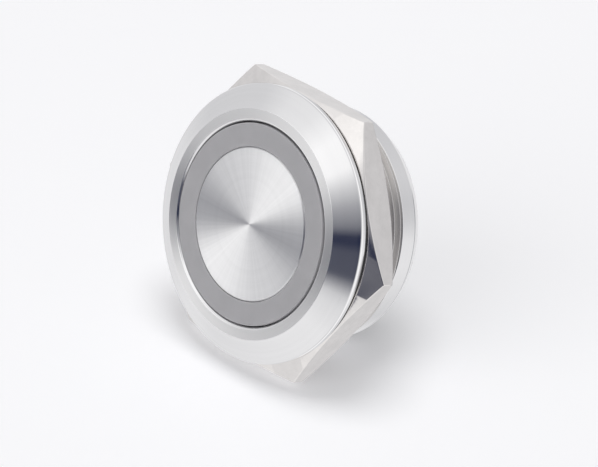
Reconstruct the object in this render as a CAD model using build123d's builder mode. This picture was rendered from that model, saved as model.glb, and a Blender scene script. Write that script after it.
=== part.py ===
"""Round metal push-button switch for a panel hole, with a ring lamp and a screwed panel nut.

Row frame, in millimetres: the switch's axis is Y. The origin is the centre of the flange's seating face,
which lies against the panel. The button faces -Y and the terminals point +Y. +Z is up, and a flat of the nut
faces down.
"""
from build123d import *
import os
from math import floor, radians, sqrt, tan

os.makedirs("parts", exist_ok=True)

# Threaded barrel and bezel flange
thread_d = 22.0
thread_depth = 0.45
thread_pitch = 0.75
thread_crest = 0.09
thread_root_gap = 0.02
relief_depth = 0.2
relief_wall = 0.1
relief_width = 0.65
barrel_wall = 1.0
rear_land_length = 2.705
rear_chamfer_length = 1.1
rear_chamfer_depth = 0.7
flange_t = 1.865
flange_overhang = 0.1
rim_land = 0.64
face_width = 1.175

# Bores of the bezel body: steps from the rear bore to the guide bore, and from there to the front bore
seat_step = 0.17
lip_step = 0.28
lip_length = 1.6
front_bore_chamfer = 0.25

# Panel gasket and nut
thread_clearance = 0.05
gasket_width = 1.3
gasket_t = 0.3
nut_wall = 1.35
nut_t = 3.0
nut_face_edge = 0.2
nut_bevel_angle = 24.0
nut_lead_in = 0.35

# Button: metal disc, light ring, seal and actuator
button_travel = 0.5
disc_t = 1.2
disc_edge = 0.12
stud_d = 2.4
bond_gap = 0.03
ring_width = 2.12
ring_gap = 0.1
ring_edge = 0.06
ring_depth = 3.3
web_t = 1.18
skirt_wall = 2.3
guide_clearance = 0.07
stop_gap = 0.02
seal_cord_d = 0.7
seal_clearance = 0.05
seal_side_gap = 0.1
actuator_flange_width = 1.2
actuator_flange_t = 0.4
actuator_boss_d = 4.4
actuator_tip_d = 2.0
actuator_tip_length = 0.25
actuator_cap_t = 0.25
stud_socket_gap = 0.1

# Return spring
spring_seat_edge = 0.37
spring_wire_d = 0.4
spring_turns = 2.0

# Housing and circuit board
under_button_gap = 0.4
deck_t = 0.8
housing_height = 2.0
housing_wall = 0.6
seat_clearance = 0.02
light_well_d = 2.3
case_window_gap = 0.35
board_gap = 0.25
board_t = 1.0

# Lamps and resistors on the board
led_count = 4
led_first_angle = 45.0
led_length = 2.0
led_width = 1.25
led_base_t = 0.45
led_lens_step = 0.35
led_lens_t = 0.35
resistor_circle_d = 11.6
resistor_length = 1.6
resistor_width = 0.8
resistor_t = 0.45

# Small switch on the board
case_cavity_d = 3.8
case_wall = 0.6
case_height = 1.78
case_corner = 0.3
case_floor_t = 0.55
cover_t = 0.2
cover_tab_width = 1.4
cover_tab_length = 0.9
stem_d = 1.9
stem_out = 0.7
stem_clearance = 0.05
stem_flange_gap = 0.3
stem_flange_t = 0.25
dome_gap = 0.15
dome_t = 0.08
contact_t = 0.1
fixed_contact_d = 1.2
common_contact_width = 0.58
rest_gap = 0.02

# Back of the switch
cover_wall_height = 1.0
cover_wall = 0.9
cover_plate_t = 1.0
potting_t = 1.5
potting_recess = 0.6
pin_d = 1.0
pin_shank_d = 0.8
pin_spacing = 6.0
pin_out = 3.2
pin_in = 0.2
pin_tip_chamfer = 0.2
pin_hole_gap = 0.03

# Places along the axis, worked out from the sizes above. The barrel is as long as what it holds.
seat = 0.0
face = seat - flange_t
lip_back = face + lip_length
nut_front = seat + gasket_t
nut_back = nut_front + nut_t
disc_back = face + disc_t
button_back = face + ring_depth
web_front = disc_back + bond_gap
web_back = web_front + web_t
deck_front = button_back + button_travel + under_button_gap
deck_back = deck_front + deck_t
board_front = deck_front + housing_height
board_back = board_front + board_t
case_front = board_front - case_height
case_floor = board_front - case_floor_t
cover_plate_front = case_front - cover_t
stem_front = cover_plate_front - stem_out
plate_front = board_back + cover_wall_height
plate_back = plate_front + cover_plate_t
potting_back = plate_back + potting_t
barrel_end = potting_back + potting_recess
thread_end = barrel_end - rear_land_length
pin_tip = barrel_end + pin_out

# Radii from the thread inwards: barrel, bores, light ring, disc
thread_r = thread_d / 2
land_r = thread_r - thread_depth
rear_bore_r = land_r - barrel_wall
guide_bore_r = rear_bore_r - seat_step
front_bore_r = guide_bore_r - lip_step
guide_r = guide_bore_r - guide_clearance
ring_r = front_bore_r - ring_gap
ring_bore_r = ring_r - ring_width
disc_r = ring_bore_r - bond_gap
lamp_r = (ring_r + ring_bore_r) / 2
insert_r = rear_bore_r - seat_clearance

# Radii from the thread outwards: nut, flange, and the flat face from the front bore
nut_bore_r = thread_r + thread_clearance
nut_flat_r = nut_bore_r + nut_wall
nut_face_r = nut_flat_r - nut_face_edge
flange_r = nut_flat_r + flange_overhang
face_r = front_bore_r + face_width

# Small switch and pins
cavity_r = case_cavity_d / 2
case_side = case_cavity_d + 2 * case_wall
window_side = case_side + 2 * case_window_gap
spring_r = window_side / 2 * sqrt(2) + spring_seat_edge + spring_wire_d / 2
pin_hole_r = pin_shank_d / 2 + pin_hole_gap
pin_places = {
    "pin_common": (-pin_spacing / 2, -pin_spacing / 2),
    "pin_normally_open": (pin_spacing / 2, -pin_spacing / 2),
    "pin_lamp_plus": (-pin_spacing / 2, pin_spacing / 2),
    "pin_lamp_minus": (pin_spacing / 2, pin_spacing / 2),
}


def across(y):
    """The plane across the axis at y. It faces +Y, with its own x along X and its own y along -Z."""
    return Plane(origin=(0, y, 0), x_dir=(1, 0, 0), z_dir=(0, 1, 0))


def turn(*points, mode=Mode.ADD):
    """Turns a closed outline of (radius, place along the axis) points about the switch's axis."""
    with BuildSketch(Plane.XY) as outline:
        with BuildLine():
            Polyline(*points, close=True)
        make_face()
    revolve(outline.sketch, axis=Axis.Y, mode=mode)


# Bezel body: coned flange, threaded barrel, and the smooth land that the nut slides over. The thread is
# ring grooves at its pitch, in place of a helix, and ends in a deeper relief groove before the land. Inside,
# the front bore's lip stops the button, and the step of the rear bore seats the housing.
thread_grooves = floor((thread_end - nut_front) / thread_pitch - 1)
groove_depth = thread_depth - thread_root_gap
groove_mouth_r = thread_r + thread_clearance
groove_half = (thread_pitch - thread_crest) / 2 * (groove_depth + thread_clearance) / groove_depth
with BuildPart() as bezel_body:
    turn(
        (front_bore_r + front_bore_chamfer, face),
        (face_r, face),
        (flange_r, seat - rim_land),
        (flange_r, seat),
        (thread_r, seat),
        (thread_r, thread_end - relief_width),
        (land_r - relief_depth, thread_end - relief_wall),
        (land_r, thread_end),
        (land_r, barrel_end - rear_chamfer_length),
        (land_r - rear_chamfer_depth, barrel_end),
        (rear_bore_r, barrel_end),
        (rear_bore_r, deck_front),
        (guide_bore_r, deck_front),
        (guide_bore_r, lip_back),
        (front_bore_r, lip_back),
        (front_bore_r, face + front_bore_chamfer),
    )
    for number in range(thread_grooves):
        groove = thread_end - thread_pitch * (number + 1.5)
        turn(
            (thread_r - groove_depth, groove),
            (groove_mouth_r, groove - groove_half),
            (groove_mouth_r, groove + groove_half),
            mode=Mode.SUBTRACT,
        )
bezel_body.part.label = "bezel_body"
export_step(bezel_body.part, "parts/bezel_body.step")

# Panel gasket: flat rubber ring, a little smaller than the flange
with BuildPart() as panel_gasket:
    with BuildSketch(across(seat)):
        Circle(nut_bore_r + gasket_width)
        Circle(nut_bore_r, mode=Mode.SUBTRACT)
    extrude(amount=gasket_t)
panel_gasket.part.label = "panel_gasket"
export_step(panel_gasket.part, "parts/panel_gasket.step")

# Panel nut: a hexagon bevelled by a shallow cone on both sides, and a bore with lead-ins.
# The turned blank reaches past the corners, so the cones meet the flats in curves.
blank_r = nut_flat_r * 1.2
bevel_run = (blank_r - nut_face_r) * tan(radians(nut_bevel_angle))
with BuildPart() as hex_nut:
    with BuildSketch(across(nut_front)):
        RegularPolygon(nut_flat_r, 6, major_radius=False)
    extrude(amount=nut_t)
    turn(
        (nut_bore_r + nut_lead_in, nut_front),
        (nut_face_r, nut_front),
        (blank_r, nut_front + bevel_run),
        (blank_r, nut_back - bevel_run),
        (nut_face_r, nut_back),
        (nut_bore_r + nut_lead_in, nut_back),
        (nut_bore_r, nut_back - nut_lead_in),
        (nut_bore_r, nut_front + nut_lead_in),
        mode=Mode.INTERSECT,
    )
hex_nut.part.label = "hex_nut"
export_step(hex_nut.part, "parts/hex_nut.step")

# Button disc: spun metal face with a stud that holds the actuator
actuator_back = stem_front - rest_gap
boss_back = actuator_back - actuator_tip_length
socket_end = boss_back - actuator_cap_t
stud_end = socket_end - stud_socket_gap
with BuildPart() as button_disc:
    turn(
        (0, face),
        (disc_r - disc_edge, face),
        (disc_r, face + disc_edge),
        (disc_r, disc_back),
        (stud_d / 2, disc_back),
        (stud_d / 2, stud_end),
        (0, stud_end),
    )
button_disc.part.label = "button_disc"
export_step(button_disc.part, "parts/button_disc.step")

# Light ring: a cup whose rim shows round the disc, with a web behind the disc, a guide flange and a seal
# groove
skirt_bore_r = guide_r - skirt_wall
flange_front = lip_back + stop_gap
groove_width = seal_cord_d + 2 * seal_side_gap
groove_middle = (flange_front + button_back) / 2
groove_r = guide_bore_r - 2 * seal_clearance - seal_cord_d
with BuildPart() as light_ring:
    turn(
        (stud_d / 2 + bond_gap, web_front),
        (ring_bore_r, web_front),
        (ring_bore_r, face + ring_edge),
        (ring_bore_r + ring_edge, face),
        (ring_r - ring_edge, face),
        (ring_r, face + ring_edge),
        (ring_r, flange_front),
        (guide_r, flange_front),
        (guide_r, groove_middle - groove_width / 2),
        (groove_r, groove_middle - groove_width / 2),
        (groove_r, groove_middle + groove_width / 2),
        (guide_r, groove_middle + groove_width / 2),
        (guide_r, button_back),
        (skirt_bore_r, button_back),
        (skirt_bore_r, web_back),
        (stud_d / 2 + bond_gap, web_back),
    )
light_ring.part.label = "light_ring"
export_step(light_ring.part, "parts/light_ring.step")

# Button seal: O-ring in the light ring's groove, wiping the guide bore
with BuildPart() as button_seal:
    with BuildSketch(Plane.XY):
        with Locations((groove_r + seal_clearance + seal_cord_d / 2, groove_middle)):
            Circle(seal_cord_d / 2)
    revolve(axis=Axis.Y)
button_seal.part.label = "button_seal"
export_step(button_seal.part, "parts/button_seal.step")

# Actuator: flange against the web, boss over the disc's stud, tip on the small switch's stem
actuator_front = web_back + bond_gap
actuator_flange_r = actuator_boss_d / 2 + actuator_flange_width
socket_r = stud_d / 2 + bond_gap
with BuildPart() as actuator:
    turn(
        (socket_r, actuator_front),
        (actuator_flange_r, actuator_front),
        (actuator_flange_r, actuator_front + actuator_flange_t),
        (actuator_boss_d / 2, actuator_front + actuator_flange_t),
        (actuator_boss_d / 2, boss_back),
        (actuator_tip_d / 2, boss_back),
        (actuator_tip_d / 2, actuator_back),
        (0, actuator_back),
        (0, socket_end),
        (socket_r, socket_end),
    )
actuator.part.label = "actuator"
export_step(actuator.part, "parts/actuator.step")

# Return spring: round wire between the light ring's web and the housing's deck
spring_front = web_back + rest_gap + spring_wire_d / 2
spring_rise = deck_front - rest_gap - spring_wire_d / 2 - spring_front
with BuildPart() as return_spring:
    with BuildLine() as coil:
        Helix(
            pitch=spring_rise / spring_turns,
            height=spring_rise,
            radius=spring_r,
            center=(0, spring_front, 0),
            direction=(0, 1, 0),
        )
    with BuildSketch(coil.line ^ 0):
        Circle(spring_wire_d / 2)
    sweep(path=coil.line, is_frenet=True)
return_spring.part.label = "return_spring"
export_step(return_spring.part, "parts/return_spring.step")

# Inner housing: deck on the rear bore's step, with a window for the small switch, light wells, and a wall
# to the board
with BuildPart() as inner_housing:
    turn(
        (0, deck_front),
        (insert_r, deck_front),
        (insert_r, board_front),
        (insert_r - housing_wall, board_front),
        (insert_r - housing_wall, deck_back),
        (0, deck_back),
    )
    with BuildSketch(across(deck_front)):
        Rectangle(window_side, window_side)
        with PolarLocations(lamp_r, led_count, start_angle=led_first_angle):
            Circle(light_well_d / 2)
    extrude(amount=deck_t, mode=Mode.SUBTRACT)
inner_housing.part.label = "inner_housing"
export_step(inner_housing.part, "parts/inner_housing.step")

# Circuit board: round, with a hole for each terminal pin
with BuildPart() as circuit_board:
    with BuildSketch(across(board_front)):
        Circle(rear_bore_r - board_gap)
        with Locations(*pin_places.values()):
            Circle(pin_hole_r, mode=Mode.SUBTRACT)
    extrude(amount=board_t)
circuit_board.part.label = "circuit_board"
export_step(circuit_board.part, "parts/circuit_board.step")

# Lamps: each a base and a narrower lens, under the middle of the light ring
for number in range(led_count):
    lamp_angle = led_first_angle + number * 360 / led_count
    with BuildPart() as led:
        with BuildSketch(across(board_front)):
            with PolarLocations(lamp_r, 1, start_angle=lamp_angle):
                Rectangle(led_width, led_length)
        extrude(amount=-led_base_t)
        with BuildSketch(across(board_front - led_base_t)):
            with PolarLocations(lamp_r, 1, start_angle=lamp_angle):
                Rectangle(led_width, led_length - 2 * led_lens_step)
        extrude(amount=-led_lens_t)
    led.part.label = f"led_{number + 1}"
    export_step(led.part, f"parts/led_{number + 1}.step")

# Lamp resistors: small blocks on the board, one each side of the small switch
for number, side in enumerate((-1, 1)):
    with BuildPart() as resistor:
        with BuildSketch(across(board_front)):
            with Locations((side * resistor_circle_d / 2, 0)):
                Rectangle(resistor_width, resistor_length)
        extrude(amount=-resistor_t)
    resistor.part.label = f"led_resistor_{number + 1}"
    export_step(resistor.part, f"parts/led_resistor_{number + 1}.step")

# Small switch case: a square block on the board with a round cavity
with BuildPart() as tact_case:
    with BuildSketch(across(case_front)):
        RectangleRounded(case_side, case_side, case_corner)
    extrude(amount=case_height)
    with BuildSketch(across(case_front)):
        Circle(cavity_r)
    extrude(amount=case_height - case_floor_t, mode=Mode.SUBTRACT)
tact_case.part.label = "tact_case"
export_step(tact_case.part, "parts/tact_case.step")

# Small switch cover: metal plate with a hole for the stem and a tab down each side
tab_middle = case_side / 2 + cover_t / 2
with BuildPart() as tact_cover:
    with BuildSketch(across(cover_plate_front)):
        RectangleRounded(case_side, case_side, case_corner)
        with Locations((-tab_middle, 0), (tab_middle, 0)):
            Rectangle(cover_t, cover_tab_width)
        Circle(stem_d / 2 + stem_clearance, mode=Mode.SUBTRACT)
    extrude(amount=cover_t)
    with BuildSketch(across(case_front)):
        with Locations((-tab_middle, 0), (tab_middle, 0)):
            Rectangle(cover_t, cover_tab_width)
    extrude(amount=cover_tab_length)
tact_cover.part.label = "tact_cover"
export_step(tact_cover.part, "parts/tact_cover.step")

# Small switch plunger: stem through the cover, with a flange that keeps it in
stem_flange_front = case_front + rest_gap
stem_flange_back = stem_flange_front + stem_flange_t
stem_flange_r = cavity_r - stem_flange_gap
with BuildPart() as tact_plunger:
    turn(
        (0, stem_front),
        (stem_d / 2, stem_front),
        (stem_d / 2, stem_flange_front),
        (stem_flange_r, stem_flange_front),
        (stem_flange_r, stem_flange_back),
        (0, stem_flange_back),
    )
tact_plunger.part.label = "tact_plunger"
export_step(tact_plunger.part, "parts/tact_plunger.step")

# Contacts on the cavity's floor: a disc in the middle and a ring under the dome's edge
contact_front = case_floor - contact_t
contact_r = cavity_r - seat_clearance
with BuildPart() as fixed_contact:
    with BuildSketch(across(contact_front)):
        Circle(fixed_contact_d / 2)
    extrude(amount=contact_t)
fixed_contact.part.label = "fixed_contact"
export_step(fixed_contact.part, "parts/fixed_contact.step")

with BuildPart() as common_contact:
    with BuildSketch(across(contact_front)):
        Circle(contact_r)
        Circle(contact_r - common_contact_width, mode=Mode.SUBTRACT)
    extrude(amount=contact_t)
common_contact.part.label = "common_contact"
export_step(common_contact.part, "parts/common_contact.step")

# Snap dome: thin spherical cap from the ring contact up to the plunger
dome_r = cavity_r - dome_gap
dome_top = stem_flange_back + rest_gap
dome_edge = contact_front - rest_gap
dome_height = dome_edge - dome_top
sphere_r = (dome_r**2 + dome_height**2) / (2 * dome_height)
with BuildPart() as snap_dome:
    with BuildSketch(across(dome_edge)):
        Circle(dome_r)
    extrude(amount=-dome_height)
    with Locations((0, dome_top + sphere_r, 0)):
        Sphere(sphere_r, mode=Mode.INTERSECT)
        Sphere(sphere_r - dome_t, mode=Mode.SUBTRACT)
snap_dome.part.label = "snap_dome"
export_step(snap_dome.part, "parts/snap_dome.step")

# Rear cover: plate with a wall that presses the board against the housing, and holes for the pins
with BuildPart() as rear_cover:
    turn(
        (0, plate_back),
        (insert_r, plate_back),
        (insert_r, board_back),
        (insert_r - cover_wall, board_back),
        (insert_r - cover_wall, plate_front),
        (0, plate_front),
    )
    with BuildSketch(across(plate_front)):
        with Locations(*pin_places.values()):
            Circle(pin_hole_r)
    extrude(amount=cover_plate_t, mode=Mode.SUBTRACT)
rear_cover.part.label = "rear_cover"
export_step(rear_cover.part, "parts/rear_cover.step")

# Potting: resin poured over the cover, round the pins
with BuildPart() as potting:
    with BuildSketch(across(plate_back)):
        Circle(insert_r)
        with Locations(*pin_places.values()):
            Circle(pin_hole_r, mode=Mode.SUBTRACT)
    extrude(amount=potting_back - plate_back)
potting.part.label = "potting"
export_step(potting.part, "parts/potting.step")

# Terminal pins: a shank from the front of the board through the resin, and a thicker post whose shoulder
# is on the resin
for pin_name, pin_place in pin_places.items():
    with BuildPart() as pin:
        with BuildSketch(across(board_front - pin_in)):
            with Locations(pin_place):
                Circle(pin_shank_d / 2)
        extrude(amount=potting_back - board_front + pin_in)
        with BuildSketch(across(potting_back)):
            with Locations(pin_place):
                Circle(pin_d / 2)
        extrude(amount=pin_tip - potting_back)
        chamfer(pin.edges().group_by(Axis.Y)[-1], pin_tip_chamfer)
    pin.part.label = pin_name
    export_step(pin.part, f"parts/{pin_name}.step")
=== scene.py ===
"""Looks of the round metal push-button switch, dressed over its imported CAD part.

Row frame, in metres: the switch's axis is Y. The origin is the middle of the flange's seating face, the
button faces -Y, the terminals point +Y and +Z is up.
"""
import math

import bmesh
import bpy
from mathutils import Matrix, Vector


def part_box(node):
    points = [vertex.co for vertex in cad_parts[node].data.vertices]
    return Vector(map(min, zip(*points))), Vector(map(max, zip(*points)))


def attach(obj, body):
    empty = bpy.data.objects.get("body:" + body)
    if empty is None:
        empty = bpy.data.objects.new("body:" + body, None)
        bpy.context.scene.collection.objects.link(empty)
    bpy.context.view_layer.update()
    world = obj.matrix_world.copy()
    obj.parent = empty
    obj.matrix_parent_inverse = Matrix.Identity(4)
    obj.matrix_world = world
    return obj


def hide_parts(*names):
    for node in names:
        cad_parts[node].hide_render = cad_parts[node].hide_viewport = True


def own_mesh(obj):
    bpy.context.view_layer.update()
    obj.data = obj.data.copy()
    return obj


bl_info = {
    "name": "Push-button switch",
    "version": (1, 0, 0),
    "blender": (4, 5, 0),
    "location": "3D View > Sidebar > Switch",
    "description": "Models and finishes a round metal push-button switch over its CAD part",
    "category": "Add Mesh",
}

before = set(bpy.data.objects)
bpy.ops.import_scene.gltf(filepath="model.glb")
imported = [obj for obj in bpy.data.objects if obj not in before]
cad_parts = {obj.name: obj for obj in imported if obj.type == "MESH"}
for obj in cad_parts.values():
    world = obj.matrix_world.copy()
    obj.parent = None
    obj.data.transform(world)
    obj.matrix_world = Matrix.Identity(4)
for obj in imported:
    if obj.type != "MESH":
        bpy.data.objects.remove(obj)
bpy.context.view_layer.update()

MM = 0.001
LAND_RADIUS = 10.55 * MM
END_CHAMFER_LENGTH = 1.1 * MM
AXIS = Vector((0, 1, 0))
ACROSS = Vector((1, 0, 0))

# How finely the round shapes are cut
TURN_STEPS = 192
THREAD_STEPS = 128
COIL_STEPS = 96
DOME_STEPS = 64
PIN_STEPS = 32
WIRE_SIDES = 16
DOME_ARC_STEPS = 12
CURVE_SEGMENTS = 4
EDGE_SEGMENTS = 2
SMOOTH_ANGLE = math.radians(35)

# How near two places or two directions count as one
SAME_PLACE = 1e-7
NEAR = 1e-6
SAME_WAY = 0.9999
NEARLY_SAME_WAY = 0.99

# Shares of the thread's pitch, and how far its tool stands clear of the crests
CREST_SHARE = 0.12
ROOT_HALF_SHARE = 1 / 16
TOOL_CLEARANCE = 0.05 * MM

PIN_NODES = ("pin_common", "pin_normally_open", "pin_lamp_plus", "pin_lamp_minus")

BEZEL_LOW, BEZEL_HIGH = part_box("bezel_body")
GASKET_LOW, GASKET_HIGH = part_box("panel_gasket")
NUT_LOW, NUT_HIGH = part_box("hex_nut")
DISC_LOW, DISC_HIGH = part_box("button_disc")
RING_LOW, RING_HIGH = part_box("light_ring")
PIN_LOW, PIN_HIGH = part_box(PIN_NODES[0])
SPRING_LOW, SPRING_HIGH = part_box("return_spring")
DOME_LOW, DOME_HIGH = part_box("snap_dome")
RESIN_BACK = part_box("potting")[1].y


# Settings

def length(name, description, default):
    """A length that the user can change, in metres."""
    return bpy.props.FloatProperty(
        name=name, description=description, default=default, min=0.0, soft_max=0.1, precision=5, unit="LENGTH"
    )


def colour(name, description, default):
    """A colour that the user can change."""
    return bpy.props.FloatVectorProperty(
        name=name, description=description, default=default, min=0.0, max=1.0, size=3, subtype="COLOR"
    )


def amount(name, description, default):
    """A share from 0 to 1 that the user can change."""
    return bpy.props.FloatProperty(
        name=name, description=description, default=default, min=0.0, max=1.0, subtype="FACTOR"
    )


class SWITCH_PG_bezel(bpy.types.PropertyGroup):
    """Sizes of the bezel body"""
    flange_radius: length("Flange radius", "Outer radius of the coned flange", BEZEL_HIGH.x)
    face_radius: length("Face radius", "Outer radius of the flat ring on the front", 10.275 * MM)
    rim_land: length("Rim land", "Length of the straight rim behind the cone", 0.64 * MM)
    rim_edge: length("Rim edge", "Rounding between the cone and the straight rim", 0.32 * MM)
    thread_radius: length("Thread radius", "Radius over the thread's crests", 11.0 * MM)
    thread_root_radius: length("Thread root radius", "Radius at the bottom of the thread", 10.57 * MM)
    thread_pitch: length("Thread pitch", "Distance from one crest to the next", 0.75 * MM)
    thread_end: length("Thread end", "Place along the axis where the smooth land begins", 6.73 * MM)
    thread_start: length("Thread start", "Place along the axis where the groove's middle begins", 0.355 * MM)
    relief_width: length("Relief width", "Length of the relief groove between thread and land", 0.65 * MM)
    relief_wall: length("Relief wall", "Length of the relief groove's rear wall", 0.1 * MM)
    relief_depth: length("Relief depth", "Depth of the relief groove below the land", 0.2 * MM)
    land_radius: length("Land radius", "Radius of the smooth land behind the thread", LAND_RADIUS)
    end_chamfer_length: length(
        "End chamfer length", "Length of the chamfer at the barrel's end", END_CHAMFER_LENGTH
    )
    end_chamfer_depth: length("End chamfer depth", "Depth of the chamfer at the barrel's end", 0.7 * MM)
    front_bore_radius: length("Front bore radius", "Bore round the light ring", 9.1 * MM)
    front_bore_chamfer: length("Front bore chamfer", "Bright bevel at the mouth of the front bore", 0.2 * MM)
    lip_back: length("Lip length", "Length of the lip that stops the button", 1.6 * MM)
    guide_bore_radius: length("Guide bore radius", "Bore that guides the button", 9.38 * MM)
    rear_bore_radius: length("Rear bore radius", "Bore that holds the housing", 9.55 * MM)
    rear_bore_front: length("Rear bore front", "Place of the step that seats the housing", 2.335 * MM)


class SWITCH_PG_nut(bpy.types.PropertyGroup):
    """Sizes of the panel nut and the gasket"""
    flat_radius: length("Flat radius", "Half the distance across the nut's flats", 12.4 * MM)
    face_radius: length("Face radius", "Radius where the nut's bevel starts", 12.2 * MM)
    bore_radius: length("Bore radius", "Radius of the nut's bore", 11.05 * MM)
    lead_in: length("Lead-in", "Chamfer at both ends of the nut's bore", 0.35 * MM)
    edge_break: length("Edge break", "Width of the small bevel on the nut's edges", 0.07 * MM)
    bevel_angle: bpy.props.FloatProperty(
        name="Bevel angle",
        description="Slope of the cone that bevels the nut's corners",
        default=math.radians(24),
        subtype="ANGLE",
    )


class SWITCH_PG_button(bpy.types.PropertyGroup):
    """Sizes of the button's disc and light ring"""
    disc_radius: length("Disc radius", "Radius of the metal disc", DISC_HIGH.x)
    disc_thickness: length("Disc thickness", "Thickness of the metal disc", 1.2 * MM)
    disc_edge: length("Disc edge", "Bevel on the disc's edge", 0.12 * MM)
    stud_radius: length("Stud radius", "Radius of the stud behind the disc", 1.2 * MM)
    ring_radius: length("Ring radius", "Outer radius of the light ring's rim", 9.0 * MM)
    ring_bore_radius: length("Ring bore radius", "Inner radius of the light ring's rim", 6.88 * MM)
    ring_edge: length("Ring edge", "Rounding of the light ring's rim", 0.11 * MM)


class SWITCH_PG_springs(bpy.types.PropertyGroup):
    """Sizes of the return spring and the snap dome"""
    wire: length("Wire", "Thickness of the return spring's wire", 0.4 * MM)
    turns: bpy.props.IntProperty(name="Turns", description="Turns of the return spring", default=2, min=1)
    dome_thickness: length("Dome thickness", "Thickness of the snap dome", 0.08 * MM)
    travel: length("Travel", "Way that the button goes in", 0.5 * MM)


class SWITCH_PG_finish(bpy.types.PropertyGroup):
    """Colours and finishes"""
    steel: colour("Steel", "Turned stainless steel of the bezel", (0.79, 0.785, 0.79))
    disc_steel: colour("Disc", "Spun stainless steel of the disc", (0.86, 0.857, 0.865))
    # The thread's darker colour is painted shade in its grooves; its cut is also rougher than the land.
    thread_steel_and_groove_shade: colour("Thread", "Duller cut steel of the thread", (0.63, 0.615, 0.605))
    nickel: colour("Nickel", "Bright nickel plate of the nut", (0.80, 0.775, 0.76))
    light_plastic: colour("Light ring", "Grey plastic of the light ring", (0.42, 0.415, 0.43))
    rubber: colour("Rubber", "Rubber of the gasket and the seal", (0.05, 0.05, 0.045))
    resin: colour("Resin", "Resin that seals the back", (0.02, 0.02, 0.022))
    tin: colour("Tin", "Tinned brass of the terminals", (0.78, 0.78, 0.76))
    spring_steel: colour("Spring steel", "Steel of the spring and the small cover", (0.70, 0.70, 0.71))
    gold: colour("Gold", "Gold flash of the dome and its contacts", (0.83, 0.68, 0.36))
    white_plastic: colour("White plastic", "Plastic of the actuator and the housing", (0.80, 0.80, 0.78))
    black_plastic: colour("Black plastic", "Plastic of small switch and rear cover", (0.03, 0.03, 0.032))
    lamp_white: colour("Lamps", "Package of the four lamps", (0.85, 0.84, 0.76))
    resistor_black: colour("Resistors", "Body of the two resistors", (0.05, 0.05, 0.055))
    board_green: colour("Board", "Lacquer of the circuit board", (0.04, 0.22, 0.11))
    cone_roughness: amount("Cone roughness", "Roughness of the polished cone and barrel", 0.09)
    face_roughness: amount("Face roughness", "Roughness of the flat ring on the front", 0.42)
    disc_roughness: amount("Disc roughness", "Roughness of the spun disc", 0.36)


class SWITCH_PG_studio(bpy.types.PropertyGroup):
    """The studio round the switch"""
    paper: colour("Paper", "Colour of the floor", (0.92, 0.92, 0.94))
    lamp_power: bpy.props.FloatProperty(
        name="Lamp power", description="Power of the soft lamp", default=1.1, min=0.0, unit="POWER"
    )
    fill: amount("Fill", "Light from all round, which is stronger in front", 0.40)
    glow: amount("Glow", "Light that comes up through the paper", 0.27)
    lamp_size: length("Lamp size", "Width of the soft lamp", 0.30)
    lamp_height: length("Lamp height", "Distance of the soft lamp", 0.5)


class SWITCH_PG_settings(bpy.types.PropertyGroup):
    """All settings of the switch"""
    bezel: bpy.props.PointerProperty(type=SWITCH_PG_bezel)
    nut: bpy.props.PointerProperty(type=SWITCH_PG_nut)
    button: bpy.props.PointerProperty(type=SWITCH_PG_button)
    springs: bpy.props.PointerProperty(type=SWITCH_PG_springs)
    finish: bpy.props.PointerProperty(type=SWITCH_PG_finish)
    studio: bpy.props.PointerProperty(type=SWITCH_PG_studio)


# Modelling, as by hand

def choose(piece):
    """Makes a piece the active one, and the only one selected."""
    bpy.ops.object.select_all(action="DESELECT")
    piece.select_set(True)
    bpy.context.view_layer.objects.active = piece


def pick(mode, test):
    """Selects only the vertices, edges or faces of the mesh being edited that pass the test."""
    bpy.ops.mesh.select_mode(type=mode)
    bpy.ops.mesh.select_all(action="DESELECT")
    mesh = bmesh.from_edit_mesh(bpy.context.edit_object.data)
    parts = {"VERT": mesh.verts, "EDGE": mesh.edges, "FACE": mesh.faces}[mode]
    found = [part for part in parts if test(part)]
    for part in found:
        part.select_set(True)
    bmesh.update_edit_mesh(bpy.context.edit_object.data)
    if not found:
        raise RuntimeError(f"nothing to select on {bpy.context.edit_object.name}")


def start_outline(name, places):
    """Begins a piece as a filled outline in the XY plane, from a vertex extruded from corner to corner."""
    bpy.ops.object.select_all(action="DESELECT")
    bpy.ops.mesh.primitive_plane_add(size=MM)
    piece = bpy.context.object
    piece.name = name
    piece.data.name = name
    bpy.ops.object.mode_set(mode="EDIT")
    bpy.ops.mesh.select_mode(type="VERT")
    bpy.ops.mesh.select_all(action="SELECT")
    bpy.ops.mesh.merge(type="CENTER")
    bpy.ops.transform.translate(value=places[0])
    for here, there in zip(places, places[1:]):
        bpy.ops.mesh.extrude_vertices_move(TRANSFORM_OT_translate={"value": there - here})
    bpy.ops.mesh.select_all(action="SELECT")
    bpy.ops.mesh.edge_face_add()
    return piece


def open_outline():
    """Takes the fill out of the outline being edited, and leaves its edges."""
    bpy.ops.mesh.select_mode(type="FACE")
    bpy.ops.mesh.select_all(action="SELECT")
    bpy.ops.mesh.delete(type="ONLY_FACE")


def round_corners(corners):
    """Rounds the corners of the outline being edited that ask for it."""
    for radius, along, rounding in corners:
        if rounding:
            place = Vector((radius, along, 0))
            pick("VERT", lambda vertex: (vertex.co - place).length < NEAR)
            bpy.ops.mesh.bevel(offset=rounding, segments=CURVE_SEGMENTS, affect="VERTICES")


def turn_piece(name, corners, steps=TURN_STEPS):
    """Turns a closed outline about the axis. A corner is a radius, a place along the axis and a rounding."""
    piece = start_outline(name, [Vector((radius, along, 0)) for radius, along, rounding in corners])
    round_corners(corners)
    open_outline()
    if corners[0][0] == 0 and corners[-1][0] == 0:
        pick("EDGE", lambda edge: all(abs(vertex.co.x) < SAME_PLACE for vertex in edge.verts))
        bpy.ops.mesh.delete(type="EDGE")
    bpy.ops.mesh.select_mode(type="VERT")
    bpy.ops.mesh.select_all(action="SELECT")
    bpy.ops.mesh.spin(steps=steps, angle=math.tau, center=(0, 0, 0), axis=AXIS)
    tidy_mesh()
    return piece


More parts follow.
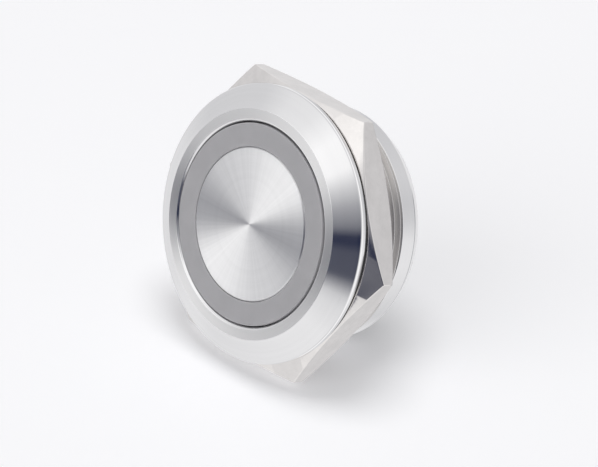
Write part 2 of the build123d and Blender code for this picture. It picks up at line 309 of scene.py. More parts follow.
def wind_piece(piece, rise, turns, steps, sides):
    """Winds an outline of so many sides about the axis into a helix, and closes its ends."""
    add_modifier(piece, "SCREW", axis="Y", angle=math.tau, screw_offset=rise, iterations=turns,
                 steps=steps, render_steps=steps, use_merge_vertices=False)
    bpy.ops.object.mode_set(mode="EDIT")
    bpy.ops.mesh.select_mode(type="EDGE")
    bpy.ops.mesh.select_all(action="DESELECT")
    bpy.ops.mesh.select_non_manifold()
    bpy.ops.mesh.fill_holes(sides=sides)
    tidy_mesh()


def tidy_mesh():
    """Merges doubled vertices of the mesh being edited, and turns its faces outwards."""
    bpy.ops.mesh.select_all(action="SELECT")
    bpy.ops.mesh.remove_doubles(threshold=SAME_PLACE)
    bpy.ops.mesh.normals_make_consistent(inside=False)
    bpy.ops.object.mode_set(mode="OBJECT")


def add_modifier(piece, kind, **values):
    """Adds a modifier with these values to a piece and applies it."""
    choose(piece)
    bpy.ops.object.modifier_add(type=kind)
    modifier = piece.modifiers[-1]
    for key, value in values.items():
        setattr(modifier, key, value)
    bpy.ops.object.modifier_apply(modifier=modifier.name)


def smooth_piece(piece):
    """Shades a piece smooth, with its flat faces kept flat."""
    choose(piece)
    bpy.ops.object.shade_smooth_by_angle(angle=SMOOTH_ANGLE)
    add_modifier(piece, "WEIGHTED_NORMAL", keep_sharp=True)


def paint_faces(piece, material, test):
    """Gives the faces of the active piece that pass the test a material of their own."""
    piece.data.materials.append(material)
    bpy.ops.object.mode_set(mode="EDIT")
    pick("FACE", test)
    piece.active_material_index = len(piece.data.materials) - 1
    bpy.ops.object.material_slot_assign()
    bpy.ops.object.mode_set(mode="OBJECT")


def finish_piece(piece, material, body, slot, *nodes):
    """Gives a piece its material, and sets it on its body in place of its CAD nodes."""
    piece.data.materials.clear()
    piece.data.materials.append(material)
    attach(piece, body)
    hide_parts(*nodes)


# Materials

# The numbers that a noise mostly keeps between, the turn that lays the grain round the axis, and how deep
# light goes into the light ring
NOISE_RANGE = (0.25, 0.75)
QUARTER_TURN = 0.25
SCATTER_DEPTH = 0.6 * MM


class Nodes:
    """A node tree, with short ways to add to it."""

    def node(self, kind, settings=None, **inputs):
        """Adds a node with its settings, and joins or sets its inputs, by name or as _0, _1 and so on."""
        made = self.tree.nodes.new(kind)
        for key, value in (settings or {}).items():
            setattr(made, key, value)
        for key, value in inputs.items():
            self.join(made.inputs[int(key[1:]) if key[0] == "_" else key], value)
        return made

    def join(self, socket, value):
        """Links an output to a socket, or sets the socket's own value."""
        if isinstance(value, bpy.types.NodeSocket):
            self.tree.links.new(value, socket)
        else:
            socket.default_value = value

    def math(self, operation, *values):
        """One sum on numbers."""
        inputs = {f"_{index}": value for index, value in enumerate(values)}
        return self.node("ShaderNodeMath", {"operation": operation}, **inputs).outputs[0]

    def vector(self, operation, *values):
        """One sum on vectors."""
        inputs = {f"_{index}": value for index, value in enumerate(values)}
        return self.node("ShaderNodeVectorMath", {"operation": operation}, **inputs).outputs[0]

    def split(self, place):
        """The three parts of a place or a direction."""
        return self.node("ShaderNodeSeparateXYZ", Vector=place).outputs

    def spread(self, value, low, high, to_low, to_high):
        """Maps a number from one range to another, smoothly."""
        made = self.node("ShaderNodeMapRange", {"interpolation_type": "SMOOTHSTEP"}, Value=value)
        for key, number in (("From Min", low), ("From Max", high), ("To Min", to_low), ("To Max", to_high)):
            self.join(made.inputs[key], number)
        return made.outputs[0]

    def blend(self, share, first, second):
        """Two colours mixed by a share."""
        mix = self.node("ShaderNodeMix", {"data_type": "RGBA"})
        self.join(mix.inputs["Factor"], share)
        self.join(mix.inputs["A"], first)
        self.join(mix.inputs["B"], second)
        return mix.outputs["Result"]


class Finish(Nodes):
    """A new material and its nodes. Every pattern is on the piece's own coordinates."""

    def __init__(self, name, base, roughness, metallic=0.0):
        self.material = bpy.data.materials.new(name)
        self.material.use_nodes = True
        self.tree = self.material.node_tree
        self.surface = self.tree.nodes["Principled BSDF"]
        self.put("Base Color", (*base, 1))
        self.put("Roughness", roughness)
        self.put("Metallic", metallic)
        self.place = self.node("ShaderNodeTexCoord").outputs["Object"]

    def put(self, name, value):
        """Joins or sets one input of the surface."""
        self.join(self.surface.inputs[name], value)

    def noise(self, place, scale, detail=2.0, roughness=0.5):
        """Noise at a place, with its scale in waves a metre."""
        made = self.node("ShaderNodeTexNoise", Vector=place, Scale=scale, Detail=detail, Roughness=roughness)
        return made.outputs["Fac"]

    def turning_place(self, stretch):
        """Distance from the axis and place along it, so that a noise read there runs in rings."""
        x, y, z = self.split(self.place)
        squares = (self.math("MULTIPLY", part, part) for part in (x, z))
        across = self.math("SQRT", self.math("ADD", *squares))
        sideways = self.math("MULTIPLY", self.math("ADD", x, z), stretch)
        return self.node("ShaderNodeCombineXYZ", X=across, Y=y, Z=sideways).outputs[0]

    def rays(self):
        """Noise that runs straight out from the axis."""
        outwards = self.vector("NORMALIZE", self.vector("MULTIPLY", self.place, (1, 0, 1)))
        return self.noise(outwards, scale=14.0, detail=5.0, roughness=0.65)

    def roughen(self, pattern, low, high):
        """Roughness that follows a pattern."""
        self.put("Roughness", self.spread(pattern, *NOISE_RANGE, low, high))

    def tint(self, pattern, dark, light):
        """Colour that follows a pattern."""
        share = self.spread(pattern, *NOISE_RANGE, 0.0, 1.0)
        self.put("Base Color", self.blend(share, (*dark, 1), (*light, 1)))

    def bump(self, pattern, strength, height):
        """Relief that follows a pattern."""
        made = self.node("ShaderNodeBump", Strength=strength, Distance=height, Height=pattern)
        self.put("Normal", made.outputs[0])

    def lay_grain(self, share):
        """Turning marks round the axis: the gloss spreads across them."""
        round_axis = self.vector("CROSS_PRODUCT", self.place, AXIS)
        turned = self.node("ShaderNodeVectorTransform", {"convert_from": "OBJECT", "convert_to": "WORLD"},
                           Vector=round_axis)
        self.put("Tangent", turned.outputs[0])
        self.put("Anisotropic", share)
        self.put("Anisotropic Rotation", QUARTER_TURN)


def scaled(colour_value, share):
    """A colour made darker or lighter."""
    return tuple(min(1.0, part * share) for part in colour_value)


def turned_steel(name, base, roughness, grain, marks, streaks=0.0):
    """Steel with fine turning marks, and a share of streaks that run out from the axis."""
    finish = Finish(name, base, roughness, metallic=1.0)
    rings = finish.turning_place(stretch=0.01)
    pattern = finish.noise(rings, scale=2500.0)
    if streaks:
        ring_part = finish.math("MULTIPLY", pattern, 1 - streaks)
        pattern = finish.math("ADD", ring_part, finish.math("MULTIPLY", finish.rays(), streaks))
    finish.tint(pattern, scaled(base, 0.985 - 0.09 * streaks), scaled(base, 1.01 + 0.03 * streaks))
    finish.bump(finish.noise(rings, scale=9000.0), strength=marks, height=0.002 * MM)
    finish.lay_grain(grain)
    return finish.material


def plated_metal(name, base, roughness):
    """Bright plated metal with a faint unevenness."""
    finish = Finish(name, base, roughness, metallic=1.0)
    gloss = finish.noise(finish.place, scale=900.0, detail=4.0)
    cloud = finish.noise(finish.place, scale=700.0, detail=5.0, roughness=0.65)
    skin = finish.noise(finish.place, scale=1800.0, detail=3.0)
    finish.roughen(gloss, roughness * 0.8, roughness * 1.3)
    finish.tint(cloud, scaled(base, 0.94), scaled(base, 1.03))
    finish.bump(skin, strength=0.25, height=0.004 * MM)
    return finish.material


def plain_plastic(name, base, roughness, scatter=0.0):
    """Moulded plastic, rubber or resin with a fine skin, and a share of light that scatters inside."""
    finish = Finish(name, base, roughness)
    gloss = finish.noise(finish.place, scale=1500.0, detail=3.0)
    cloud = finish.noise(finish.place, scale=500.0)
    skin = finish.noise(finish.place, scale=6000.0, detail=3.0)
    finish.roughen(gloss, roughness * 0.9, roughness * 1.1)
    finish.tint(cloud, scaled(base, 0.97), scaled(base, 1.03))
    finish.bump(skin, strength=0.2, height=0.003 * MM)
    if scatter:
        finish.put("Subsurface Weight", scatter)
        finish.put("Subsurface Scale", SCATTER_DEPTH)
        finish.put("Subsurface Radius", (1, 1, 1))
    return finish.material


# The pieces

def cut_thread(piece, sizes):
    """Cuts a right-hand thread with a V tool that runs round the barrel and out over the relief groove."""
    depth = sizes.thread_radius - sizes.thread_root_radius
    start = sizes.thread_start
    root_half = sizes.thread_pitch * ROOT_HALF_SHARE
    slope = (sizes.thread_pitch / 2 * (1 - CREST_SHARE) - root_half) / depth
    top = sizes.thread_radius + TOOL_CLEARANCE
    top_half = root_half + (depth + TOOL_CLEARANCE) * slope
    places = [
        Vector((sizes.thread_root_radius, start - root_half, 0)),
        Vector((top, start - top_half, 0)),
        Vector((top, start + top_half, 0)),
        Vector((sizes.thread_root_radius, start + root_half, 0)),
    ]
    tool = start_outline("thread_tool", places)
    open_outline()
    bpy.ops.object.mode_set(mode="OBJECT")
    turns = math.floor((sizes.thread_end - sizes.relief_wall - start) / sizes.thread_pitch)
    wind_piece(tool, sizes.thread_pitch, turns, THREAD_STEPS, len(places))
    add_modifier(piece, "BOOLEAN", operation="DIFFERENCE", solver="EXACT", object=tool)
    bpy.data.objects.remove(tool)
    bpy.ops.object.mode_set(mode="EDIT")
    bpy.ops.mesh.select_all(action="SELECT")
    bpy.ops.mesh.remove_doubles(threshold=NEAR)
    bpy.ops.mesh.dissolve_degenerate(threshold=NEAR)
    tidy_mesh()


class SWITCH_OT_bezel(bpy.types.Operator):
    """Turn the bezel body and cut its thread"""
    bl_idname = "switch.bezel"
    bl_label = "Bezel body"

    def execute(self, context):
        sizes = context.scene.push_button.bezel
        finish = context.scene.push_button.finish
        face, end = BEZEL_LOW.y, BEZEL_HIGH.y
        mouth_edge, face_edge, seat_edge = 0.1 * MM, 0.03 * MM, 0.06 * MM
        relief_edge, land_edge, chamfer_edge, end_edge = 0.04 * MM, 0.07 * MM, 0.08 * MM, 0.04 * MM
        piece = turn_piece("bezel", [
            (sizes.front_bore_radius + sizes.front_bore_chamfer, face, mouth_edge),
            (sizes.face_radius, face, face_edge),
            (sizes.flange_radius, -sizes.rim_land, sizes.rim_edge),
            (sizes.flange_radius, 0, seat_edge),
            (sizes.thread_radius, 0, 0),
            (sizes.thread_radius, sizes.thread_end - sizes.relief_width, 0),
            (sizes.land_radius - sizes.relief_depth, sizes.thread_end - sizes.relief_wall, relief_edge),
            (sizes.land_radius, sizes.thread_end, land_edge),
            (sizes.land_radius, end - sizes.end_chamfer_length, chamfer_edge),
            (sizes.land_radius - sizes.end_chamfer_depth, end, end_edge),
            (sizes.rear_bore_radius, end, end_edge),
            (sizes.rear_bore_radius, sizes.rear_bore_front, 0),
            (sizes.guide_bore_radius, sizes.rear_bore_front, 0),
            (sizes.guide_bore_radius, face + sizes.lip_back, 0),
            (sizes.front_bore_radius, face + sizes.lip_back, 0),
            (sizes.front_bore_radius, face + sizes.front_bore_chamfer, mouth_edge),
        ])
        cut_thread(piece, sizes)
        smooth_piece(piece)
        steel = turned_steel("bezel_steel", finish.steel, finish.cone_roughness, grain=0.4, marks=0.15)
        finish_piece(piece, steel, "switch_body", "bezel_steel", "bezel_body")
        self.paint_front(piece, face, finish)
        self.paint_thread(piece, sizes, finish)
        return {"FINISHED"}

    def paint_front(self, piece, face, finish):
        """The flat ring on the front is brushed."""
        steel = turned_steel("bezel_face_steel", finish.steel, finish.face_roughness, grain=1.0, marks=0.1)
        just_behind = face + 0.01 * MM

        def on_front(part):
            return part.normal.dot(-AXIS) > NEARLY_SAME_WAY and part.calc_center_median().y < just_behind

        paint_faces(piece, steel, on_front)

    def paint_thread(self, piece, sizes, finish):
        """The thread is rougher than the turned land, and its darker colour is painted shade in the grooves.
        """
        # Painted shade: the thread's steel is darker than the land's to stand in for the grooves' shade.
        steel = turned_steel("thread_steel_and_groove_shade", finish.thread_steel_and_groove_shade, roughness=0.3, grain=0.4, marks=0.15)
        bore = sizes.rear_bore_radius + 0.2 * MM

        def on_thread(part):
            middle = part.calc_center_median()
            outwards = Vector((middle.x, 0, middle.z))
            if outwards.length < bore or part.normal.dot(outwards) <= 0:
                return False
            return 0 < middle.y < sizes.thread_end

        paint_faces(piece, steel, on_thread)


class SWITCH_OT_gasket(bpy.types.Operator):
    """Turn the panel gasket"""
    bl_idname = "switch.gasket"
    bl_label = "Panel gasket"

    def execute(self, context):
        settings = context.scene.push_button
        rounding = 0.08 * MM
        inner, outer = settings.nut.bore_radius, GASKET_HIGH.x
        piece = turn_piece("gasket", [
            (inner, GASKET_LOW.y, rounding),
            (outer, GASKET_LOW.y, rounding),
            (outer, GASKET_HIGH.y, rounding),
            (inner, GASKET_HIGH.y, rounding),
        ])
        smooth_piece(piece)
        rubber = plain_plastic("gasket_rubber", settings.finish.rubber, roughness=0.6)
        finish_piece(piece, rubber, "gasket", "seal_rubber", "panel_gasket")
        return {"FINISHED"}


class SWITCH_OT_nut(bpy.types.Operator):
    """Turn the panel nut's blank and cut its six flats"""
    bl_idname = "switch.nut"
    bl_label = "Panel nut"

    def execute(self, context):
        sizes = context.scene.push_button.nut
        front, back = NUT_LOW.y, NUT_HIGH.y
        past_corners = sizes.flat_radius * 1.2
        run = (past_corners - sizes.face_radius) * math.tan(sizes.bevel_angle)
        edge = 0.05 * MM
        piece = turn_piece("nut", [
            (sizes.bore_radius + sizes.lead_in, front, edge),
            (sizes.face_radius, front, edge),
            (past_corners, front + run, 0),
            (past_corners, back - run, 0),
            (sizes.face_radius, back, edge),
            (sizes.bore_radius + sizes.lead_in, back, edge),
            (sizes.bore_radius, back - sizes.lead_in, 0),
            (sizes.bore_radius, front + sizes.lead_in, 0),
        ])
        self.cut_flats(sizes)
        tidy_mesh()
        smooth_piece(piece)
        nickel = plated_metal("nut_nickel", context.scene.push_button.finish.nickel, roughness=0.09)
        finish_piece(piece, nickel, "nut", "nut_nickel", "hex_nut")
        return {"FINISHED"}

    def cut_flats(self, sizes):
        """Cuts six flats off the blank, the lowest facing down, and breaks their edges."""
        bpy.ops.object.mode_set(mode="EDIT")
        angles = [math.radians(30 + 60 * side) for side in range(6)]
        flats = [Vector((math.cos(angle), 0, math.sin(angle))) for angle in angles]
        for flat in flats:
            bpy.ops.mesh.select_all(action="SELECT")
            bpy.ops.mesh.bisect(
                plane_co=flat * sizes.flat_radius, plane_no=flat, use_fill=True, clear_outer=True
            )

        def side_of(part):
            return next((side for side, flat in enumerate(flats) if part.normal.dot(flat) > SAME_WAY), None)

        pick("EDGE", lambda edge: len({side_of(part) for part in edge.link_faces}) == 2)
        bpy.ops.mesh.bevel(offset=sizes.edge_break, segments=EDGE_SEGMENTS, affect="EDGES")


class SWITCH_OT_button(bpy.types.Operator):
    """Turn the button's metal disc and its light ring"""
    bl_idname = "switch.button"
    bl_label = "Button"

    def execute(self, context):
        sizes = context.scene.push_button.button
        finish = context.scene.push_button.finish
        face = DISC_LOW.y
        disc_back = face + sizes.disc_thickness
        edge, stud_edge = 0.03 * MM, 0.1 * MM
        disc = turn_piece("disc", [
            (0, face, 0),
            (sizes.disc_radius - sizes.disc_edge, face, edge),
            (sizes.disc_radius, face + sizes.disc_edge, edge),
            (sizes.disc_radius, disc_back, edge),
            (sizes.stud_radius, disc_back, 0),
            (sizes.stud_radius, DISC_HIGH.y, stud_edge),
            (0, DISC_HIGH.y, 0),
        ])
        smooth_piece(disc)
        roughness = finish.disc_roughness
        spun = turned_steel("disc_steel", finish.disc_steel, roughness, grain=1.0, marks=0.1, streaks=0.7)
        finish_piece(disc, spun, "button", "disc_steel", "button_disc")
        self.make_ring(sizes, finish)
        return {"FINISHED"}

    def make_ring(self, sizes, finish):
        """The light ring's cup, with its web, guide flange and seal groove."""
        web_front, web_back = -0.635 * MM, 0.545 * MM
        guide_front, groove_front, groove_back = -0.245 * MM, 0.145 * MM, 1.045 * MM
        guide, groove, skirt, hole = RING_HIGH.x, 8.58 * MM, 7.01 * MM, 1.23 * MM
        ring = turn_piece("ring", [
            (hole, web_front, 0),
            (sizes.ring_bore_radius, web_front, 0),
            (sizes.ring_bore_radius, RING_LOW.y, sizes.ring_edge),
            (sizes.ring_radius, RING_LOW.y, sizes.ring_edge),
            (sizes.ring_radius, guide_front, 0),
            (guide, guide_front, 0),
            (guide, groove_front, 0),
            (groove, groove_front, 0),
            (groove, groove_back, 0),
            (guide, groove_back, 0),
            (guide, RING_HIGH.y, 0),
            (skirt, RING_HIGH.y, 0),
            (skirt, web_back, 0),
            (hole, web_back, 0),
        ])
        smooth_piece(ring)
        plastic = plain_plastic("light_ring_plastic", finish.light_plastic, roughness=0.55, scatter=0.5)
        finish_piece(ring, plastic, "button", "light_plastic", "light_ring")


class SWITCH_OT_terminals(bpy.types.Operator):
    """Turn a terminal pin and copy it to its four places"""
    bl_idname = "switch.terminals"
    bl_label = "Terminal pins"

    def execute(self, context):
        tin = plated_metal("pin_tin", context.scene.push_button.finish.tin, roughness=0.25)
        post, shank, chamfer = (PIN_HIGH.x - PIN_LOW.x) / 2, 0.4 * MM, 0.2 * MM
        end_edge, chamfer_edge = 0.05 * MM, 0.08 * MM
        first = turn_piece("pin", [
            (0, PIN_LOW.y, 0),
            (shank, PIN_LOW.y, 0),
            (shank, RESIN_BACK, 0),
            (post, RESIN_BACK, end_edge),
            (post, PIN_HIGH.y - chamfer, chamfer_edge),
            (post - chamfer, PIN_HIGH.y, end_edge),
            (0, PIN_HIGH.y, 0),
        ], steps=PIN_STEPS)
        smooth_piece(first)
        for node in PIN_NODES:
            low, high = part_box(node)
            choose(first)
            bpy.ops.object.duplicate(linked=False)
            pin = bpy.context.object
            pin.name = node.replace("pin_", "post_")
            bpy.ops.object.mode_set(mode="EDIT")
            bpy.ops.mesh.select_all(action="SELECT")
            bpy.ops.transform.translate(value=((low.x + high.x) / 2, 0, (low.z + high.z) / 2))
            bpy.ops.object.mode_set(mode="OBJECT")
            finish_piece(pin, tin, "switch_body", "pin_tin", node)
        bpy.data.objects.remove(first)
        return {"FINISHED"}


class SWITCH_OT_springs(bpy.types.Operator):
    """Wind the return spring and press the snap dome"""
    bl_idname = "switch.springs"
    bl_label = "Springs"

    def execute(self, context):
        sizes = context.scene.push_button.springs
        finish = context.scene.push_button.finish
        steel = plated_metal("spring_steel", finish.spring_steel, roughness=0.25)
        spring = self.wind_spring(sizes)
        finish_piece(spring, steel, "switch_body", "spring_steel", "return_spring")
        self.flatten(spring, "button_press", SPRING_LOW.y, SPRING_HIGH.y, sizes.travel)
        gold = plated_metal("dome_gold", finish.gold, roughness=0.2)
        dome = self.press_dome(sizes)
        finish_piece(dome, gold, "switch_body", "contact_gold", "snap_dome")
        self.flatten(dome, "tact_press", DOME_LOW.y, DOME_HIGH.y, sizes.travel)
        return {"FINISHED"}

    def wind_spring(self, sizes):
        """A round wire wound about the axis, from a filled circle."""
        radius = sizes.wire / 2
        bpy.ops.object.select_all(action="DESELECT")
        bpy.ops.mesh.primitive_circle_add(
            vertices=WIRE_SIDES, radius=radius, location=(SPRING_HIGH.x - radius, SPRING_LOW.y + radius, 0)
        )
        spring = bpy.context.object
        spring.name = "spring"
        spring.data.name = "spring"
        bpy.ops.object.transform_apply(location=True)
        rise = SPRING_HIGH.y - SPRING_LOW.y - sizes.wire
        wind_piece(spring, rise / sizes.turns, sizes.turns, COIL_STEPS, WIRE_SIDES)
        smooth_piece(spring)
        return spring

    def press_dome(self, sizes):
        """A thin cap of a ball, from its edge on the ring contact to its top under the plunger."""
        edge, height = DOME_HIGH.x, DOME_HIGH.y - DOME_LOW.y
        ball = (edge ** 2 + height ** 2) / (2 * height)
        middle = DOME_LOW.y + ball

        def arc(radius):
            wide = math.acos((ball - height) / radius)
            angles = [wide * step / DOME_ARC_STEPS for step in range(DOME_ARC_STEPS + 1)]
            return [(radius * math.sin(angle), middle - radius * math.cos(angle), 0) for angle in angles]

        dome = turn_piece("dome", [*arc(ball), *reversed(arc(ball - sizes.dome_thickness))], steps=DOME_STEPS)
        smooth_piece(dome)
        return dome

    def flatten(self, piece, joint, front, back, travel):
        """Gives a piece a mesh of its own."""
        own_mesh(piece)


class SWITCH_OT_inside(bpy.types.Operator):
    """Give the pieces inside the switch, and its resin, their materials"""
    bl_idname = "switch.inside"
    bl_label = "Inside and back"

    def execute(self, context):
        finish = context.scene.push_button.finish
        rubber = plain_plastic("seal_rubber", finish.rubber, roughness=0.55)
        white = plain_plastic("white_plastic", finish.white_plastic, roughness=0.5)
        black = plain_plastic("black_plastic", finish.black_plastic, roughness=0.5)
        steel = plated_metal("cover_steel", finish.spring_steel, roughness=0.25)
        gold = plated_metal("contact_gold", finish.gold, roughness=0.2)
        lamp = plain_plastic("lamp_white", finish.lamp_white, roughness=0.3)
        chip = plain_plastic("resistor_black", finish.resistor_black, roughness=0.4)
        board = plain_plastic("board_green", finish.board_green, roughness=0.25)
        resin = plain_plastic("potting_resin", finish.resin, roughness=0.3)
        wearers = (
            (rubber, ("button_seal",)),
            (white, ("actuator", "inner_housing")),
            (black, ("tact_case", "tact_plunger", "rear_cover")),
            (steel, ("tact_cover",)),
            (gold, ("fixed_contact", "common_contact")),
            (lamp, ("led_1", "led_2", "led_3", "led_4")),
            (chip, ("led_resistor_1", "led_resistor_2")),
            (board, ("circuit_board",)),
            (resin, ("potting",)),
        )
        for material, nodes in wearers:
            for node in nodes:
                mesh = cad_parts[node].data
                mesh.materials.clear()
                mesh.materials.append(material)
        return {"FINISHED"}


# The studio

# What the switch lies on: the rear edge of the nut's lowest flat, and the edge of the barrel's chamfer
FLOOR_FRONT = Vector((0, NUT_HIGH.y - 0.06 * MM, NUT_LOW.z))
FLOOR_BACK = Vector((0, BEZEL_HIGH.y - END_CHAMFER_LENGTH, -LAND_RADIUS))

# The camera, fitted to the photograph's edges: its place, and its right, its up and its back
EYE = Vector((0.2290, -0.2500, 0.1035))
EYE_RIGHT = Vector((0.6681, 0.7019, 0.2470))
EYE_UP = Vector((-0.3807, 0.0373, 0.9239))
EYE_BACK = Vector((0.6393, -0.7113, 0.2921))

# Light that the metal mirrors, as degrees round the axis from +X towards +Z, and brightness: on flat fronts,
# where it repeats after half a turn, on bevels, on the cone, on sides and on what faces back
FRONT_LIGHT = (
    (0, 0.33), (18, 0.38), (26, 0.62), (35, 1.05), (76, 1.10), (92, 0.98), (104, 0.70), (145, 0.56),
    (156, 0.44), (165, 0.33),
)
BEVEL_LIGHT = (
    (0, 0.11), (10, 0.10), (18, 0.03), (23, 0.05), (28, 0.22), (35, 0.72), (50, 0.95), (62, 0.95),
    (76, 0.85), (90, 0.70), (105, 0.62), (135, 0.58), (180, 0.70), (225, 0.55), (255, 0.52), (285, 0.62),
    (305, 0.68), (330, 0.78), (338, 0.66), (343, 0.09), (350, 0.05),
)
CONE_LIGHT = (
    (0, 0.055), (10, 0.045), (14, 0.0), (17, 0.0), (21, 0.16), (30, 0.34), (38, 0.60), (46, 0.93),
    (60, 0.96), (75, 0.79), (90, 0.75), (105, 0.63), (140, 0.61), (165, 0.70), (210, 0.76), (240, 0.76),
    (265, 0.71), (315, 0.79), (330, 0.80), (345, 0.70), (350, 0.59), (355, 0.27), (358.5, 0.08),
)
SIDE_LIGHT = (
    (0, 0.78), (12, 0.76), (22, 0.60), (30, 0.56), (45, 0.62), (90, 0.53), (180, 0.72), (270, 0.60),
    (298, 0.55), (315, 0.62), (330, 0.60), (350, 0.74),
)
BACK_LIGHT = (
    (0, 0.05), (33, 0.10), (40, 1.0), (60, 0.90), (90, 0.55), (180, 0.60), (270, 0.45), (320, 0.50),
    (340, 0.35),
)

# Tilts from the front between which one light turns into the next, and windows with their soft borders
TILT_TO_BEVEL = (math.radians(16), math.radians(20))
TILT_TO_CONE = (math.radians(25), math.radians(27.5))
TILT_TO_SIDE = (math.radians(58), math.radians(70))
TILT_OF_BACK = (math.radians(97), math.radians(104), math.radians(4))
TILT_OF_EDGE = (math.radians(74), math.radians(80), math.radians(5))
FACING_AWAY = (0.24, 0.38)

# Colours of that light: on rounded edges, on what faces away from the camera, and at its dark and bright ends
EDGE_LIGHT = (0.95, 0.95, 0.95, 1)
AWAY_LIGHT = (0.67, 0.67, 0.67, 1)
DARK_END = (0.020, 0.025, 0.055, 1)
WHITE = (1, 1, 1, 1)
METAL_LIGHT = 1.25

# The fill on plain surfaces: how far ahead a ray points, and the fill's shares there and elsewhere
FILL_AHEAD = (-1.0, -0.7)
FRONT_FILL_SHARE = 3.5
REST_FILL_SHARE = 0.6

# The floor's width, how far the lamp leans back, and the camera's lens
FLOOR_SIZE = 4.0
LAMP_LEAN = 0.05
LENS_MM = 240.8
SENSOR_MM = 36.0
CLIP_START = 0.01
CLIP_END = 10.0


def floor_axes():
    """The floor's forward direction and its normal."""
    back = (FLOOR_BACK - FLOOR_FRONT).normalized()
    return -back, ACROSS.cross(back)


class SWITCH_OT_stage(bpy.types.Operator):
    """Set up the floor, the soft light and the camera"""
    bl_idname = "switch.stage"
    bl_label = "Studio"

    def execute(self, context):
        studio = context.scene.push_button.studio
        self.make_floor(studio)
        self.make_surroundings(context.scene, studio)
        self.make_lamp(studio)
        self.make_camera(context.scene)
        context.scene.view_settings.view_transform = "Standard"
        return {"FINISHED"}

    def make_floor(self, studio):
        """A sheet of pale paper that glows a little and can't be seen from below."""
        forward, normal = floor_axes()
        bpy.ops.object.select_all(action="DESELECT")
        bpy.ops.mesh.primitive_plane_add(size=FLOOR_SIZE)
        floor = bpy.context.object
        floor.name = "floor"
        turn = Matrix((ACROSS, -forward, normal)).transposed().to_4x4()
        floor.matrix_world = Matrix.Translation(FLOOR_FRONT) @ turn
        floor.visible_glossy = False
        paper = Finish("floor_paper", studio.paper, roughness=0.9)
        paper.put("Specular IOR Level", 0.0)
        paper.put("Emission Color", (*studio.paper, 1))
        paper.put("Emission Strength", studio.glow)
        from_below = paper.node("ShaderNodeNewGeometry").outputs["Backfacing"]
        clear = paper.node("ShaderNodeBsdfTransparent").outputs[0]
        mix = paper.node("ShaderNodeMixShader", _0=from_below, _1=paper.surface.outputs[0], _2=clear)
        output = paper.tree.nodes["Material Output"]
        paper.join(output.inputs["Surface"], mix.outputs[0])
        floor.data.materials.append(paper.material)

    def make_surroundings(self, scene, studio):
        """A world that is white to the eye, a fill to plain surfaces, and a studio to metal."""
        world = bpy.data.worlds.new("studio")
        scene.world = world
        world.use_nodes = True
        Sky(world.node_tree).build(studio)

    def make_lamp(self, studio):
        """A soft lamp overhead, which lights only plain surfaces."""
        forward, normal = floor_axes()
        bpy.ops.object.light_add(type="AREA")
        lamp = bpy.context.object
        lamp.name = "soft_lamp"
        lamp.data.shape = "DISK"
        lamp.data.size = studio.lamp_size
        lamp.data.energy = studio.lamp_power
        towards = (normal - forward * LAMP_LEAN).normalized()
        lamp.location = towards * studio.lamp_height
        lamp.rotation_euler = towards.to_track_quat("Z", "Y").to_euler()
        lamp.visible_glossy = False
        lamp.visible_camera = False

    def make_camera(self, scene):
        """The camera at the photograph's place."""
        bpy.ops.object.camera_add()
        camera = bpy.context.object
        camera.name = "camera"
        camera.data.lens = LENS_MM
        camera.data.sensor_width = SENSOR_MM
        camera.data.clip_start = CLIP_START
        camera.data.clip_end = CLIP_END
        turn = Matrix((EYE_RIGHT, EYE_UP, EYE_BACK)).transposed().to_4x4()
        camera.matrix_world = Matrix.Translation(EYE) @ turn
        scene.camera = camera


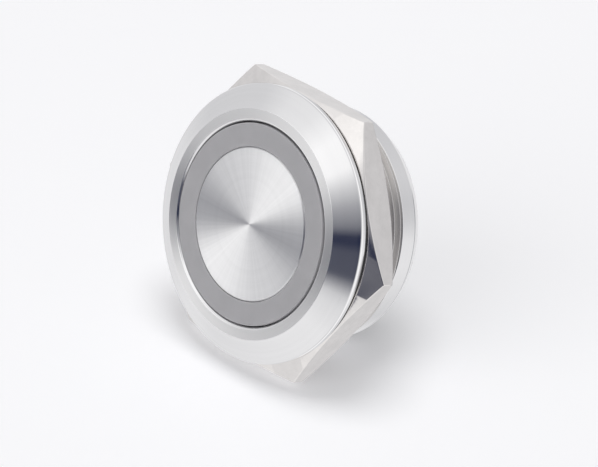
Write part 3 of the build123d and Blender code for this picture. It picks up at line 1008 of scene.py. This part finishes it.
class Sky(Nodes):
    """The world's nodes. The metal's light is laid out by the slope that would mirror it to the camera's
    place: its tilt from the switch's front, and its turn round the axis from +X towards +Z."""

    def __init__(self, tree):
        self.tree = tree
        way = self.node("ShaderNodeTexCoord").outputs["Generated"]
        self.ahead = self.split(way)[1]
        slope = self.vector("NORMALIZE", self.vector("ADD", way, EYE_BACK))
        x, y, z = self.split(slope)
        self.tilt = self.math("ARCCOSINE", self.math("MULTIPLY", y, -1.0))
        self.turn = self.math("DIVIDE", self.math("ARCTAN2", z, x), math.tau)
        facing = self.node("ShaderNodeVectorMath", {"operation": "DOT_PRODUCT"}, _0=slope, _1=EYE_BACK)
        self.facing = facing.outputs["Value"]

    def round_light(self, stops, folds=1):
        """Light round the axis, from stops of an angle and a brightness, that repeats so many times."""
        share = self.math("FRACT", self.math("MULTIPLY", self.turn, float(folds)))
        made = self.node("ShaderNodeValToRGB", Fac=share)
        line = made.color_ramp.elements
        line.remove(line[-1])
        line[0].position = 0.0
        for angle, light in stops:
            stop = line[0] if angle == 0 else line.new(angle * folds / 360)
            stop.color = (light, light, light, 1)
        line.new(1.0).color = line[0].color
        return made.outputs["Color"]

    def window(self, value, low, high, soft):
        """1 between two values, fading to 0 outside them."""
        opens = self.spread(value, low - soft, low, 0.0, 1.0)
        closes = self.spread(value, high, high + soft, 1.0, 0.0)
        return self.math("MULTIPLY", opens, closes)

    def from_tilt(self, tilts):
        """0 below the first tilt and 1 above the second."""
        return self.spread(self.tilt, *tilts, 0.0, 1.0)

    def metal_light(self):
        """The studio that metal mirrors, from the front's light to the back's."""
        light = self.round_light(FRONT_LIGHT, folds=2)
        light = self.blend(self.from_tilt(TILT_TO_BEVEL), light, self.round_light(BEVEL_LIGHT))
        light = self.blend(self.from_tilt(TILT_TO_CONE), light, self.round_light(CONE_LIGHT))
        light = self.blend(self.from_tilt(TILT_TO_SIDE), light, self.round_light(SIDE_LIGHT))
        light = self.blend(self.window(self.tilt, *TILT_OF_BACK), light, self.round_light(BACK_LIGHT))
        light = self.blend(self.window(self.tilt, *TILT_OF_EDGE), light, EDGE_LIGHT)
        light = self.blend(self.spread(self.facing, *FACING_AWAY, 1.0, 0.0), light, AWAY_LIGHT)
        return self.blend(light, DARK_END, WHITE)

    def shine(self, colour_value, strength):
        """A background of one colour and strength."""
        return self.node("ShaderNodeBackground", Color=colour_value, Strength=strength).outputs[0]

    def choose_shader(self, share, first, second):
        """The first of two shaders where the share is 0, and the second where it is 1."""
        return self.node("ShaderNodeMixShader", _0=share, _1=first, _2=second).outputs[0]

    def build(self, studio):
        """Joins the three looks of the studio by the kind of ray."""
        mirrored = self.shine(self.metal_light(), METAL_LIGHT)
        fills = (studio.fill * FRONT_FILL_SHARE, studio.fill * REST_FILL_SHARE)
        even = self.shine(WHITE, self.spread(self.ahead, *FILL_AHEAD, *fills))
        paper = self.shine((*studio.paper, 1), 1.0)
        ray = self.node("ShaderNodeLightPath").outputs
        unseen = self.choose_shader(ray["Is Glossy Ray"], even, mirrored)
        seen = self.math("MAXIMUM", ray["Is Camera Ray"], ray["Is Transmission Ray"])
        output = next(node for node in self.tree.nodes if node.type == "OUTPUT_WORLD")
        self.join(output.inputs["Surface"], self.choose_shader(seen, unseen, paper))


# Panel and running

class SWITCH_PT_panel(bpy.types.Panel):
    """Push-button switch"""
    bl_idname = "SWITCH_PT_panel"
    bl_label = "Push-button switch"
    bl_space_type = "VIEW_3D"
    bl_region_type = "UI"
    bl_category = "Switch"

    def draw(self, context):
        settings = context.scene.push_button
        for name in settings.__annotations__:
            group = getattr(settings, name)
            box = self.layout.box()
            for key in group.__annotations__:
                box.prop(group, key)
        for operator in OPERATORS:
            self.layout.operator(operator.bl_idname)


GROUPS = (
    SWITCH_PG_bezel,
    SWITCH_PG_nut,
    SWITCH_PG_button,
    SWITCH_PG_springs,
    SWITCH_PG_finish,
    SWITCH_PG_studio,
    SWITCH_PG_settings,
)
OPERATORS = (
    SWITCH_OT_bezel,
    SWITCH_OT_gasket,
    SWITCH_OT_nut,
    SWITCH_OT_button,
    SWITCH_OT_terminals,
    SWITCH_OT_springs,
    SWITCH_OT_inside,
    SWITCH_OT_stage,
)


def register():
    """Adds the classes and the settings to Blender."""
    for cls in (*GROUPS, *OPERATORS, SWITCH_PT_panel):
        bpy.utils.register_class(cls)
    bpy.types.Scene.push_button = bpy.props.PointerProperty(type=SWITCH_PG_settings)


def unregister():
    """Takes the classes and the settings out of Blender."""
    del bpy.types.Scene.push_button
    for cls in reversed((*GROUPS, *OPERATORS, SWITCH_PT_panel)):
        bpy.utils.unregister_class(cls)


def main():
    """Makes the switch and its studio."""
    register()
    bpy.ops.switch.bezel()
    bpy.ops.switch.gasket()
    bpy.ops.switch.nut()
    bpy.ops.switch.button()
    bpy.ops.switch.terminals()
    bpy.ops.switch.springs()
    bpy.ops.switch.inside()
    bpy.ops.switch.stage()


if __name__ == "__main__":
    main()
